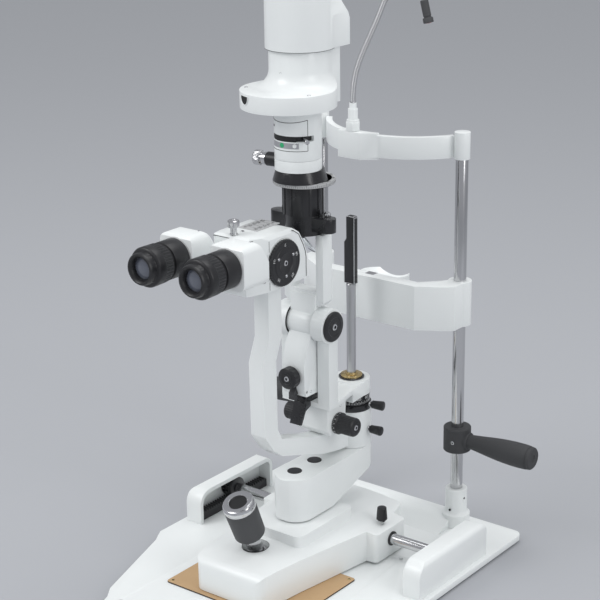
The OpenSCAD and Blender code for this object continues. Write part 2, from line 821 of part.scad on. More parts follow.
module lens_bracket() {
    color(black) at_pivot() difference() {
        union() {
            rod_z(24, 441, 466, 0, -94);
            translate([0, 0, 447]) linear_extrude(17) {
                polygon([[-37, -107], [37, -107], [37, -87], [-37, -87]]);
                for (s = [-1, 1]) translate([s * 37, -97]) circle(10);
            }
            rod_z(24, 466, 503, 0, -barrel_out);
            for (a = [0:30:330])
                translate([0, -barrel_out, 466]) rotate([0, 0, a]) translate([22.6, -2, 0]) cube([2.4, 4, 34]);
        }
        rod_z(18, 452, 504, 0, -barrel_out);
        rod_z(13, 440, 453, 0, -96);
        for (s = [-1, 1]) rod_z(2 + fit, 456, 465, s * 32, -91);
    }
}

module slit_scale() {
    color(black) at_pivot() difference() {
        union() {
            rod_z(37.5, 503, 508, 0, -94);
            translate([0, tower_y + 3, 508]) rotate_extrude() polygon([[0, 0], [33, 0], [29, 13.6], [0, 13.6]]);
        }
        rod_z(13, 502, 522, 0, tower_y + 3);
    }
}

module filter_housing() {
    color(white) at_pivot() difference() {
        rod_z(tube_r, housing_z, flange_z, 0, tower_y);
        rod_z(12, housing_z - 1, flange_z + 1, 0, tower_y);
        rod_z(tube_r - 4, 559.7, 566.3, 0, tower_y);
        difference() {
            rod_z(tube_r + 1, 559.7, 566.3, 0, tower_y);
            box(-30, 30, tower_y - 5, tower_y + 30, 559, 567);
        }
    }
}

module lamp_house() {
    flare = concat([[0, flange_z], [37, flange_z]], [[57, neck_z]], arc(57, neck_z + 20, 20, 270, 180, 8),
        [[37, cap_z - gap], [0, cap_z - gap]]);
    color(white) at_pivot() difference() {
        union() {
            intersection() {
                rod_z(flange_r, flange_z, neck_z, 0, -122);
                box(-60, 60, -190, -66, flange_z - 1, neck_z + 1);
            }
            intersection() {
                translate([0, -neck_out, 0]) rotate_extrude() polygon(flare);
                rod_z(flange_r, flange_z, cap_z, 0, -122);
                box(-60, 60, -190, -66, flange_z - 1, cap_z + 1);
            }
            rod_z(37, flange_z, cap_z - gap, 0, -neck_out);
            box(-34, 34, -neck_out, -66, flange_z, cap_z - gap);
        }
        rod_z(12, flange_z - 1, 612, 0, tower_y);
        rod_z(20, 610, cap_z, 0, -neck_out);
    }
}

module lamp_bulb() {
    color([0.9, 0.9, 0.8]) at_pivot() translate([0, -neck_out, 0]) {
        rod_z(20 - fit, 640, 650);
        rod_z(9, 650, 676);
        rod_z(6, 622, 640);
        translate([0, 0, 622]) sphere(r = 6);
    }
}

module lamp_cap() {
    shape = concat([[-148, cap_z], [-148, cap_top - 16]], arc(-132, cap_top - 16, 16, 180, 90, 6),
        [[-84, cap_top], [-60, 716], [-52, 697], [-52, cap_z]]);
    bevel = [[42, 695], [42, cap_top + 1], [26, cap_top + 1], [33, 716]];
    color(white) at_pivot() difference() {
        intersection() {
            translate([0, 0, cap_z]) linear_extrude(cap_top - cap_z) {
                translate([0, -neck_out]) circle(41);
                translate([-38, -neck_out]) square([76, neck_out - 52]);
            }
            side_prism(shape, -42, 42);
        }
        both_sides() front_prism(bevel, -neck_out + 6, -50);
        rod_z(20, cap_z - 1, cap_top - 30, 0, -neck_out);
    }
}

module tilt_knob() {
    color(black) at_pivot() translate([0, -121 - gap, 262]) rotate([90, 0, 0]) rotate_extrude()
        polygon([[0, -12], [3, -12], [3, 0], [7, 0], [7, 2.5], [14, 3], [14, 12], [12.5, 14.2], [0, 14.2]]);
}

module tilt_latch() {
    lever = [[112, 240], [114, 249], [120, 249], [126, 240], [126, 232], [121, 230], [118, 232], [120, 236],
        [117, 238]];
    color(grey) at_pivot() {
        side_prism(outward(lever), -4, 4);
        rod_x(2, -15, 15, -116, 242);
    }
}

module centring_screw(side) {
    at_pivot() translate([side * 32, -91, 464 + gap]) rotate_extrude()
        polygon([[0, -8], [2, -8], [2, 0], [3.8, 0], [4.2, 1], [4.2, 5], [3.4, 6], [0, 6]]);
}

module centring_screw_right() {
    color(steel) centring_screw(1);
}

module centring_screw_left() {
    color(steel) centring_screw(-1);
}

module slit_turret() {
    color(white) at_pivot() difference() {
        rod_z(tube_r, turret_z, housing_z - gap, 0, tower_y);
        rod_z(12, turret_z - 1, housing_z, 0, tower_y);
        translate([0, tower_y, 529]) rotate([0, 0, 8]) rod_x(2.5 + fit, -29, -10);
    }
}

module aperture_knob() {
    color(steel) at_pivot() translate([0, tower_y, 529]) rotate([0, 0, 8]) rotate([0, -90, 0])
        rotate_extrude() polygon([[0, 14], [2.5, 14], [2.5, 28.6], [6, 28.6], [6.8, 30], [6.8, 44],
        [5.5, 45], [6.8, 46], [6.8, 58], [6, 60], [0, 60]]);
}

module filter_lever() {
    color(black) at_pivot() translate([0, tower_y, 0]) difference() {
        union() {
            rod_z(tube_r - 4.2, 560, 566);
            rotate([0, 0, -38]) {
                rod_x(2, 20, 40, 0, 563);
                rod_x(2.8, 40, 45, 0, 563);
            }
        }
        rod_z(12, 559, 567);
    }
}

base_plate();
rubber_feet();
friction_plate();
gear_racks();
rail_guards();
rear_bar();
pillars();
forehead_band();
forehead_pad();
chin_bracket();
hand_grips();
chin_post();
chin_cup();
chin_knob();
fixation_plug();
fixation_gooseneck();
fixation_lamp();
axle_tube();
wheel_set();
slide_base();
slide_lock_knob();
joystick_gimbal();
joystick_stem();
joystick_grip();
pedestal();
lift_column();
pivot_post();
microscope_arm();
microscope_body();
objective_lens();
mic_lock_knob();
magnification_drum();
prism_right();
prism_left();
eyepiece_right();
eyepiece_left();
head_thumbscrew();
lamp_fork();
slit_drive();
angle_scale();
tilt_quadrant();
hinge_pin();
arm_lock_knob();
slit_knobs();
tilt_column();
mirror_plate();
lens_bracket();
slit_scale();
filter_housing();
lamp_house();
lamp_bulb();
tilt_knob();
tilt_latch();
centring_screw_right();
centring_screw_left();
slit_turret();
aperture_knob();
filter_lever();
lamp_cap();
test_rod();
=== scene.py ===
"""The looks of the slit lamp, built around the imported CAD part. Metres, +Z up, in the part's own frame."""
import json
import math

import bmesh
import bpy
from mathutils import Matrix, Vector

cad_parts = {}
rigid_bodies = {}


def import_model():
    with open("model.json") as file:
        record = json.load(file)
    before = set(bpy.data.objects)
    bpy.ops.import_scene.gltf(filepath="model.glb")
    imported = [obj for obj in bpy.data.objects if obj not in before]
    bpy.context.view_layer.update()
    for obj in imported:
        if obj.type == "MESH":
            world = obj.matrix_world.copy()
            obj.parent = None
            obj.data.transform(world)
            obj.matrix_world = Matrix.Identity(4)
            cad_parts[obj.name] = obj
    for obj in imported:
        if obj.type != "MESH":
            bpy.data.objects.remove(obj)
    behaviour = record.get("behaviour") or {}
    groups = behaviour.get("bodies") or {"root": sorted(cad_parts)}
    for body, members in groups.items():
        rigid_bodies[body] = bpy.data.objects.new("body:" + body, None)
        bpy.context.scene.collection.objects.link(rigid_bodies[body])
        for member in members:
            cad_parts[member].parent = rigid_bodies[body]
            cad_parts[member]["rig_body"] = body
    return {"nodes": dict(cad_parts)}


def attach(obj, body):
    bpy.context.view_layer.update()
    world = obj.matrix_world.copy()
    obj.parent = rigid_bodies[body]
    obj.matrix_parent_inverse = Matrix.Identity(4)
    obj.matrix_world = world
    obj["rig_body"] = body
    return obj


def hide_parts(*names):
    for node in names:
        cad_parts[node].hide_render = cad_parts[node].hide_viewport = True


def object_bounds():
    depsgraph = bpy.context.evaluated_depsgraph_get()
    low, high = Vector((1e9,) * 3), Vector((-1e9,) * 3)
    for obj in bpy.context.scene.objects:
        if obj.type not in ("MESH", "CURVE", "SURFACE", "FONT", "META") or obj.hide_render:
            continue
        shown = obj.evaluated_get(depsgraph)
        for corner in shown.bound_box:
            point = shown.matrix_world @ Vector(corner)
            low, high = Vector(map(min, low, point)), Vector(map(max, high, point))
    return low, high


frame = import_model()
cad_low, cad_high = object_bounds()
scene = bpy.context.scene
MM = 0.001


# ---------- camera, floor and light ----------

def add_object(name, data):
    made = bpy.data.objects.new(name, data)
    scene.collection.objects.link(made)
    return made


def make_camera(azimuth, elevation, roll, place, lens):
    a, e, r = (math.radians(x) for x in (azimuth, elevation, roll))
    back = Vector((math.sin(a) * math.cos(e), -math.cos(a) * math.cos(e), math.sin(e)))
    right = Vector((math.cos(a), math.sin(a), 0))
    up = back.cross(right)
    right, up = right * math.cos(r) - up * math.sin(r), right * math.sin(r) + up * math.cos(r)
    camera = add_object("camera", bpy.data.cameras.new("camera"))
    turn = Matrix((right, up, back)).transposed().to_4x4()
    camera.matrix_world = Matrix.Translation(place) @ turn
    camera.data.lens = lens
    camera.data.sensor_width = 36
    camera.data.clip_end = 60
    scene.camera = camera


def add_softbox(name, place, target, width, height, power, colour=(1, 1, 1)):
    light = bpy.data.lights.new(name, "AREA")
    light.shape = "RECTANGLE"
    light.size, light.size_y = width, height
    light.energy, light.color = power, colour
    lamp = add_object(name, light)
    lamp.location = place
    lamp.rotation_euler = (Vector(target) - Vector(place)).to_track_quat("-Z", "Y").to_euler()


make_camera(38.06, 18.76, 0.85, Vector((1.1863, -1.4878, 1.010)), 99.88)

BACKDROP = (0.40, 0.41, 0.435, 1)


def seen_rays(tree):
    """1 for camera, glossy and transmission rays, and 0 for the rest."""
    path = tree.nodes.new("ShaderNodeLightPath")
    total = path.outputs["Is Camera Ray"]
    for ray in ("Is Glossy Ray", "Is Transmission Ray"):
        add = tree.nodes.new("ShaderNodeMath")
        add.operation = "MAXIMUM"
        tree.links.new(total, add.inputs[0])
        tree.links.new(path.outputs[ray], add.inputs[1])
        total = add.outputs[0]
    return total


def make_world(ambient):
    world = bpy.data.worlds.new("studio")
    world.use_nodes = True
    tree = world.node_tree
    tree.nodes.clear()
    light, backdrop = (tree.nodes.new("ShaderNodeBackground") for _ in range(2))
    light.inputs["Color"].default_value = (0.97, 0.985, 1, 1)
    light.inputs["Strength"].default_value = ambient
    backdrop.inputs["Color"].default_value = BACKDROP
    mix = tree.nodes.new("ShaderNodeMixShader")
    tree.links.new(seen_rays(tree), mix.inputs[0])
    tree.links.new(light.outputs[0], mix.inputs[1])
    tree.links.new(backdrop.outputs[0], mix.inputs[2])
    out = tree.nodes.new("ShaderNodeOutputWorld")
    tree.links.new(mix.outputs[0], out.inputs["Surface"])
    scene.world = world


def make_floor():
    bm = bmesh.new()
    bmesh.ops.create_circle(bm, cap_ends=True, radius=20, segments=96)
    data = bpy.data.meshes.new("studio_floor")
    bm.to_mesh(data)
    bm.free()
    floor = add_object("studio_floor", data)
    floor.location.z = cad_low.z - 0.0005
    material = bpy.data.materials.new("studio_floor")
    material.use_nodes = True
    shader = material.node_tree.nodes["Principled BSDF"]
    shader.inputs["Base Color"].default_value = BACKDROP
    shader.inputs["Roughness"].default_value = 0.9
    shader.inputs["Specular IOR Level"].default_value = 0.1
    data.materials.append(material)


make_world(0.78)
make_floor()
add_softbox("key_light", (-1.6, -2.2, 2.6), (0, 0, 0.35), 1.6, 1.6, 38)
add_softbox("side_light", (2.6, -0.4, 1.5), (0, 0, 0.35), 0.9, 1.8, 16)
add_softbox("top_light", (0.2, 0.5, 2.8), (0, 0, 0.2), 1.6, 1.6, 20)
scene.view_settings.view_transform = "Standard"


# ---------- materials ----------

def material(name, colour, rough, vary=0.04, patch=18, grain=900, bump=0.05, metallic=0.0, coat=0.0,
             rough_vary=0.06, stretch=(1, 1, 1), depth=0.0004, kind="noise", **sockets):
    made = bpy.data.materials.new(name)
    made.use_nodes = True
    tree = made.node_tree
    shader = tree.nodes["Principled BSDF"]
    new, link = tree.nodes.new, tree.links.new
    place = new("ShaderNodeTexCoord").outputs["Object"]
    scaled = new("ShaderNodeMapping")
    scaled.inputs["Scale"].default_value = stretch
    link(place, scaled.inputs["Vector"])
    patches = new("ShaderNodeTexNoise")
    patches.inputs["Scale"].default_value = patch
    patches.inputs["Detail"].default_value = 5
    link(scaled.outputs[0], patches.inputs["Vector"])
    ramp = new("ShaderNodeMix")
    ramp.data_type = "RGBA"
    ramp.inputs["A"].default_value = (*(c * (1 - vary) for c in colour), 1)
    ramp.inputs["B"].default_value = (*(min(1, c * (1 + vary)) for c in colour), 1)
    link(patches.outputs["Fac"], ramp.inputs["Factor"])
    link(ramp.outputs["Result"], shader.inputs["Base Color"])
    fine = new("ShaderNodeTexNoise" if kind != "cells" else "ShaderNodeTexVoronoi")
    fine.inputs["Scale"].default_value = grain
    link(scaled.outputs[0], fine.inputs["Vector"])
    fine_out = fine.outputs["Fac" if kind != "cells" else "Distance"]
    spread = new("ShaderNodeMapRange")
    spread.inputs["To Min"].default_value = rough - rough_vary
    spread.inputs["To Max"].default_value = rough + rough_vary
    link(patches.outputs["Fac"], spread.inputs["Value"])
    link(spread.outputs[0], shader.inputs["Roughness"])
    raised = new("ShaderNodeBump")
    raised.inputs["Strength"].default_value = bump
    raised.inputs["Distance"].default_value = depth
    link(fine_out, raised.inputs["Height"])
    link(raised.outputs[0], shader.inputs["Normal"])
    shader.inputs["Metallic"].default_value = metallic
    if coat:
        shader.inputs["Coat Weight"].default_value = coat
        shader.inputs["Coat Roughness"].default_value = 0.12
    for socket, value in sockets.items():
        shader.inputs[socket.replace("_", " ")].default_value = value
    return made


MATERIALS = {
    "white_paint": material("white_paint", (0.80, 0.825, 0.825), 0.34, 0.02, grain=1300, bump=0.10,
                            coat=0.15),
    "white_cover": material("white_cover", (0.82, 0.845, 0.845), 0.30, 0.015, grain=1500, bump=0.06,
                            coat=0.2),
    "black_plastic": material("black_plastic", (0.016, 0.016, 0.018), 0.38, 0.2, grain=2400, bump=0.12),
    "black_metal": material("black_metal", (0.012, 0.012, 0.014), 0.27, 0.2, grain=3000, bump=0.05, coat=0.2),
    "grip_rubber": material("grip_rubber", (0.045, 0.046, 0.049), 0.62, 0.15, grain=2600, bump=0.35),
    "grey_rubber": material("grey_rubber", (0.055, 0.056, 0.060), 0.58, 0.12, grain=2200, bump=0.3),
    "polished_steel": material("polished_steel", (0.62, 0.62, 0.63), 0.16, 0.05, grain=700, bump=0.02,
                               metallic=1.0, stretch=(1, 1, 0.05)),
    "brushed_steel": material("brushed_steel", (0.56, 0.56, 0.57), 0.30, 0.08, grain=1500, bump=0.08,
                              metallic=1.0, stretch=(1, 1, 0.04)),
    "friction_board": material("friction_board", (0.50, 0.33, 0.175), 0.6, 0.12, grain=1800, bump=0.3),
    "pad_vinyl": material("pad_vinyl", (0.02, 0.02, 0.022), 0.42, 0.2, grain=1100, bump=0.35, kind="cells"),
    "mirror_glass": material("mirror_glass", (0.86, 0.88, 0.90), 0.03, 0.01, grain=300, bump=0.0,
                             metallic=1.0, rough_vary=0.01),
    "bulb_glass": material("bulb_glass", (0.85, 0.85, 0.80), 0.1, 0.02, grain=300, bump=0.0,
                           Transmission_Weight=0.6),
    "brass": material("brass", (0.66, 0.50, 0.24), 0.25, 0.08, grain=900, bump=0.05, metallic=1.0),
    # recess: a near-black colour that stands for the shade inside holes, screw centres, slots, grooves, seams
    # and the lamp window
    "recess": material("recess", (0.012, 0.012, 0.013), 0.6, 0.2, grain=1500, bump=0.1),
    "dark_edge": material("dark_edge", (0.05, 0.035, 0.025), 0.7, 0.2, grain=1500, bump=0.2),
    "mark_white": material("mark_white", (0.75, 0.76, 0.76), 0.45, 0.05, grain=2000, bump=0.05),
    "mark_black": material("mark_black", (0.02, 0.02, 0.022), 0.45, 0.1, grain=2000, bump=0.05),
    "scale_plate": material("scale_plate", (0.45, 0.455, 0.46), 0.36, 0.04, grain=2200, bump=0.05),
    "lens_glass": material("lens_glass", (0.10, 0.11, 0.14), 0.05, 0.1, grain=200, bump=0.0, coat=0.6,
                           rough_vary=0.02),
    "red_lens": material("red_lens", (0.40, 0.02, 0.02), 0.22, 0.1, grain=900, bump=0.05, coat=0.5),
    "green_mark": material("green_mark", (0.03, 0.42, 0.17), 0.35, 0.15, grain=900, bump=0.05),
}


# ---------- modelling helpers ----------

X, Y, Z = Vector((1, 0, 0)), Vector((0, 1, 0)), Vector((0, 0, 1))
PIVOT_Y = 133
TOWER_Y = PIVOT_Y - 105


def arm(out):
    """The y of a point that far from the pivot toward the operator."""
    return PIVOT_Y - out


def node_slot(node):
    return frame["nodes"][node].data.materials[0].name.split(".")[0]


def node_body(node):
    return frame["nodes"][node]["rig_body"]


def finish_mesh(bm, name, materials, body, nodes=(), sharp=32):
    data = bpy.data.meshes.new(name)
    bm.to_mesh(data)
    bm.free()
    for m in materials:
        data.materials.append(MATERIALS[m])
    data.polygons.foreach_set("use_smooth", [True] * len(data.polygons))
    data.set_sharp_from_angle(angle=math.radians(sharp))
    piece = add_object(name, data)
    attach(piece, body)
    if nodes:
        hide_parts(*nodes)
    return piece


class Maker:
    """Collects shapes in millimetres and turns them into one piece."""

    def __init__(self, name, body, slot, nodes=(), sharp=32):
        self.name, self.body, self.slot, self.nodes, self.sharp = name, body, slot, nodes, sharp
        self.bm = bmesh.new()
        self.finishes = []

    def finish(self, name):
        name = name or self.slot
        if name not in self.finishes:
            self.finishes.append(name)
        return self.finishes.index(name)

    def add(self, points, faces, finish=None):
        verts = [self.bm.verts.new(Vector(p) * MM) for p in points]
        index = self.finish(finish)
        made = []
        for corners in faces:
            face = self.bm.faces.new([verts[i] for i in corners])
            face.material_index = index
            made.append(face)
        bmesh.ops.recalc_face_normals(self.bm, faces=made)
        return made

    def turned(self, at, axis, profile, finish=None, steps=48, flutes=0, depth=0.06, closed=False,
               bands=None):
        """Turns a profile of (radius, height) or (radius, height, 1 where it is fluted) round an axis."""
        axis = Vector(axis).normalized()
        side = axis.orthogonal().normalized()
        other = axis.cross(side)
        at = Vector(at)
        steps = flutes * 4 if flutes else steps
        points, rings = [], []
        for entry in profile:
            r, h = entry[0], entry[1]
            cut = depth if len(entry) > 2 and entry[2] else 0
            if r == 0:
                points.append(at + axis * h)
                rings.append([len(points) - 1] * steps)
                continue
            ring = []
            for j in range(steps):
                a = 2 * math.pi * j / steps
                rr = r * (1 - cut * (0.5 - 0.5 * math.cos(flutes * a)))
                points.append(at + axis * h + (side * math.cos(a) + other * math.sin(a)) * rr)
                ring.append(len(points) - 1)
            rings.append(ring)
        pairs = list(zip(rings, rings[1:] + rings[:1])) if closed else list(zip(rings, rings[1:]))
        faces = []
        for lower, upper in pairs:
            for j in range(steps):
                k = (j + 1) % steps
                corners = list(dict.fromkeys((lower[j], lower[k], upper[k], upper[j])))
                if len(corners) > 2:
                    faces.append(corners)
        made = self.add(points, faces, finish)
        if bands:
            for first, last, name in bands:
                index = self.finish(name)
                for face in made[first * steps:last * steps]:
                    face.material_index = index
        return made

    def prism(self, origin, u, v, outline, low, high, finish=None, rounding=0.0, segments=2):
        """Extrudes an outline of (u, v) points from low to high along u x v."""
        u, v = Vector(u), Vector(v)
        n, origin = u.cross(v), Vector(origin)
        flat = [origin + u * a + v * b for a, b in outline]
        count = len(flat)
        points = [p + n * low for p in flat] + [p + n * high for p in flat]
        faces = [list(range(count))[::-1], list(range(count, 2 * count))]
        faces += [[i, (i + 1) % count, count + (i + 1) % count, count + i] for i in range(count)]
        made = self.add(points, faces, finish)
        if rounding:
            edges = list({e for f in made for e in f.edges if e.calc_face_angle(0) > 0.4})
            bmesh.ops.bevel(self.bm, geom=edges, offset=rounding * MM, segments=segments, profile=0.5,
                            affect="EDGES", clamp_overlap=True)
        return made

    def swept(self, path, radii, finish=None, steps=16):
        """A round tube along a path, with one radius for each point."""
        path = [Vector(p) for p in path]
        side = None
        points, rings = [path[0]], []
        for i, p in enumerate(path):
            ahead = (path[min(i + 1, len(path) - 1)] - path[max(i - 1, 0)]).normalized()
            side = (ahead.orthogonal().normalized() if side is None
                    else (side - ahead * side.dot(ahead)).normalized())
            other = ahead.cross(side)
            ring = []
            for j in range(steps):
                a = 2 * math.pi * j / steps
                points.append(p + (side * math.cos(a) + other * math.sin(a)) * radii[i])
                ring.append(len(points) - 1)
            rings.append(ring)
        points.append(path[-1])
        rings = [[0] * steps] + rings + [[len(points) - 1] * steps]
        faces = []
        for lower, upper in zip(rings, rings[1:]):
            for j in range(steps):
                k = (j + 1) % steps
                corners = list(dict.fromkeys((lower[j], lower[k], upper[k], upper[j])))
                if len(corners) > 2:
                    faces.append(corners)
        return self.add(points, faces, finish)

    def screw(self, at, axis, r, height=0.8, finish="polished_steel", slot=False):
        """A small screw head with a round sunk centre."""
        sink = min(height, r * 0.5)
        # the bottom of the sunk centre is painted shade
        self.turned(at, axis, [(0, height - sink), (r * 0.42, height - sink), (r * 0.5, height),
                               (r * 0.88, height), (r, height - r * 0.15), (r, -0.4), (0, -0.4)], finish, 20,
                    bands=[(0, 2, "recess")])

    def hole(self, at, axis, r, rim=None):
        """A near-black disc of painted shade with a thin rim, standing for the shade inside a hole."""
        self.turned(at, axis, [(0, -0.25), (r * 0.8, -0.22), (r, 0.06), (r * 1.08, 0.05), (r * 1.08, -0.4),
                               (0, -0.4)], "recess", 20)

    def ring_marks(self, at, axis, zero, radius, angles, low, high, width, finish, lift=0.08):
        """Marks on a round wall: each runs from low to high along the axis."""
        axis, at = Vector(axis).normalized(), Vector(at)
        side = Vector(zero).normalized()
        other = axis.cross(side)
        for i, angle in enumerate(angles):
            top = high[i] if isinstance(high, (list, tuple)) else high
            a = math.radians(angle)
            normal = side * math.cos(a) + other * math.sin(a)
            across = axis.cross(normal)
            self.prism(at + normal * radius, across, axis, [(-width / 2, low), (width / 2, low),
                       (width / 2, top), (-width / 2, top)], -0.25, lift, finish)

    def number(self, text, at, u, v, height, weight, finish, lift=0.08):
        """Plain figures drawn as raised strokes, centred on a point of the plane (u, v)."""
        u, v, at = Vector(u).normalized(), Vector(v).normalized(), Vector(at)
        unit = height / 6
        start = -(len(text) * 5.4 - 1.4) / 2
        for i, figure in enumerate(text):
            line = [((x + start + i * 5.4) * unit, (y - 3) * unit) for x, y in FIGURES[figure]]
            for (x0, y0), (x1, y1) in zip(line, line[1:]):
                run = Vector((x1 - x0, y1 - y0))
                if run.length == 0:
                    continue
                run.normalize()
                w = weight / 2
                nx, ny = -run.y * w, run.x * w
                x0e, y0e, x1e, y1e = x0 - run.x * w, y0 - run.y * w, x1 + run.x * w, y1 + run.y * w
                self.prism(at, u, v, [(x0e - nx, y0e - ny), (x1e - nx, y1e - ny), (x1e + nx, y1e + ny),
                           (x0e + nx, y0e + ny)], -0.1, lift, finish)

    def done(self):
        return finish_mesh(self.bm, self.name, self.finishes, self.body, self.nodes, self.sharp)


FIGURES = {
    "0": [(1, 0), (3, 0), (4, 1), (4, 5), (3, 6), (1, 6), (0, 5), (0, 1), (1, 0)],
    "1": [(1, 5), (2, 6), (2, 0)],
    "2": [(0, 5), (1, 6), (3, 6), (4, 5), (4, 4), (0, 0), (4, 0)],
    "3": [(0, 5), (1, 6), (3, 6), (4, 5), (4, 4), (3, 3), (4, 2), (4, 1), (3, 0), (1, 0), (0, 1)],
    "4": [(3, 0), (3, 6), (0, 2), (4, 2)],
    "5": [(4, 6), (0, 6), (0, 3.4), (3, 3.6), (4, 2.6), (4, 1), (3, 0), (0, 0.4)],
    "6": [(3.6, 6), (1, 5), (0, 3), (0, 1), (1, 0), (3, 0), (4, 1), (4, 2.4), (3, 3.3), (0.4, 3)],
    "7": [(0, 6), (4, 6), (1.4, 0)],
    "8": [(1, 3), (0, 4), (0, 5), (1, 6), (3, 6), (4, 5), (4, 4), (3, 3), (1, 3), (0, 2), (0, 1), (1, 0),
          (3, 0), (4, 1), (4, 2), (3, 3)],
    "9": [(0.4, 0), (3, 1), (4, 3), (4, 5), (3, 6), (1, 6), (0, 5), (0, 3.6), (1, 2.7), (3.6, 3)],
}


def shell(node, bevel=0.7, segments=2, angle=28, finish=None, paint=None):
    """The CAD node's own shape with its edges rounded. paint gives faces another finish by their place."""
    source = frame["nodes"][node]
    slot = node_slot(node)
    bm = bmesh.new()
    bm.from_mesh(source.data)
    bmesh.ops.remove_doubles(bm, verts=bm.verts, dist=2e-5)
    bmesh.ops.dissolve_degenerate(bm, edges=bm.edges, dist=1e-5)
    bmesh.ops.dissolve_limit(bm, angle_limit=math.radians(0.5), verts=bm.verts, edges=bm.edges)
    edges = [e for e in bm.edges if e.is_manifold and e.calc_face_angle() > math.radians(angle)]
    if bevel:
        bmesh.ops.bevel(bm, geom=edges, offset=bevel * MM, segments=segments, profile=0.5, affect="EDGES",
                        clamp_overlap=True)
    finishes = [finish or slot]
    for face in bm.faces:
        face.material_index = 0
        name = paint(face.calc_center_median() / MM, face.normal) if paint else None
        if name:
            if name not in finishes:
                finishes.append(name)
            face.material_index = finishes.index(name)
    return finish_mesh(bm, node + "_finish", finishes, source["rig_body"], [node])


# ---------- base ----------

def shells(bevel, *names, **words):
    for name in names:
        shell(name, bevel, **words)


BOARD_TOP = 12
PILLAR_X, PILLAR_Y = 109, 218


def board_paint(place, normal):
    return None if normal.z > 0.9 else "dark_edge"


shells(1.6, "base_plate")
shells(0.6, "rubber_feet", "gear_racks", "pillars", "axle_tube", "chin_post", "lift_column", "lamp_bulb")
shell("friction_plate", 0.4, paint=board_paint)
shell("rail_guards", 2.2, 3)
shell("rear_bar", 1.6)
board = Maker("friction_board_screws", "base", "friction_board")
for sx in (-1, 1):
    for sy in (-1, 1):
        board.screw((sx * 88, -60 + sy * 66, BOARD_TOP), Z, 2.4, 0.3, "brass")
board.done()

sockets = Maker("socket_screws", "base", "black_metal")
for side in (-1, 1):
    for height, turn, reach in ((36, -90, 16.4), (52, -10, 14.6)):
        a = math.radians(turn)
        out = Vector((side * math.cos(a), math.sin(a), 0))
        sockets.turned(Vector((side * PILLAR_X, PILLAR_Y, height)) + out * (reach - 1.4), out,
                       [(0, 0.2), (0.7, 0.2), (0.8, 1.0), (1.4, 1.0), (1.5, 0.9), (1.5, 0), (0, 0)],
                       "black_metal", 12)
sockets.done()

# ---------- head rest ----------

shell("forehead_band", 2.0)
shell("chin_bracket", 3.5, 3)
shell("chin_cup", 2.0, 3)


def hand_grip(side):
    grip = Maker("hand_grip_right" if side > 0 else "hand_grip_left", "base", "grip_rubber")
    out = Vector((side, 0, 0))
    place = Vector((side * PILLAR_X, PILLAR_Y, 134))
    body = [(0, 15), (9, 15), (9.6, 17), (9.4, 22), (10.1, 28), (11.3, 38), (12.9, 50), (14.3, 62),
            (15.3, 74), (15.9, 86), (16, 98), (15.6, 106.5), (15.1, 108.6), (14.4, 109.2), (14.4, 109.8),
            (15.0, 110.3), (14.6, 112.6), (13.2, 114), (5.2, 114), (4.4, 113), (0, 113)]
    grip.turned(place, out, body, "grip_rubber", 56)
    collar = [(8.05, -15.4), (17.2, -15.4), (18, -14.6), (18, 16.4), (17.2, 17.4), (8.05, 17.4)]
    grip.turned(place, Z, collar, "grip_rubber", 56, closed=True)
    grip.turned(place, out, [(0, 8), (11.4, 8), (11.4, 18.6), (10.2, 19.6), (0, 19.6)], "grip_rubber", 40)
    grip.screw(place + Vector((side * 4, -17.6, 0)), -Y, 2.6, 0.7, "polished_steel")
    return grip


right_grip, left_grip = hand_grip(1), hand_grip(-1)
right_piece, left_piece = right_grip.done(), left_grip.done()
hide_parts("hand_grips")
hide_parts("hand_grips")

BAND_Y, BAND_LOW, BAND_R = 276, 510, 116


def forehead_pad():
    """A soft strip that follows the band: crowned, with rounded ends, and pressed flat against the band."""
    inner, outer, half_height, half_angle = BAND_R - 13, BAND_R - 8.05, 12, math.radians(42)
    bm = bmesh.new()
    columns, rows = 72, 14
    centre = Vector((0, BAND_Y, BAND_LOW + 14))
    rings = []
    for i in range(columns + 1):
        t = i / columns
        a = -half_angle + 2 * half_angle * t
        end = min(t, 1 - t) * 2 * half_angle * outer
        taper = math.sqrt(max(0.0, 1 - max(0.0, 1 - end / 7) ** 2))
        taper = max(taper, 0.04)
        ring = []
        for j in range(rows * 2):
            b = 2 * math.pi * j / (rows * 2)
            height = (math.copysign(abs(math.sin(b)) ** 0.55, math.sin(b))
                      * half_height * (0.35 + 0.65 * taper))
            swell = max(0.0, math.cos(b)) ** 0.5
            dimple = 1 - 0.16 * math.exp(-((t - 0.5) / 0.012) ** 2)
            r = outer - swell * (outer - inner) * taper * dimple
            ring.append(bm.verts.new((centre + Vector((math.sin(a) * r, -math.cos(a) * r, height))) * MM))
        rings.append(ring)
    for lower, upper in zip(rings, rings[1:]):
        for j in range(rows * 2):
            k = (j + 1) % (rows * 2)
            bm.faces.new((lower[j], lower[k], upper[k], upper[j]))
    for ring in (rings[0], rings[-1]):
        bm.faces.new(ring)
    bmesh.ops.recalc_face_normals(bm, faces=bm.faces)
    pad = finish_mesh(bm, "forehead_pad_soft", ["pad_vinyl"], "base", ["forehead_pad"], 60)


forehead_pad()

# ---------- fixation lamp ----------

shell("fixation_plug", 0.5)


def bezier(a, b, c, d, t):
    return a * (1 - t) ** 3 + b * 3 * t * (1 - t) ** 2 + c * 3 * t ** 2 * (1 - t) + d * t ** 3


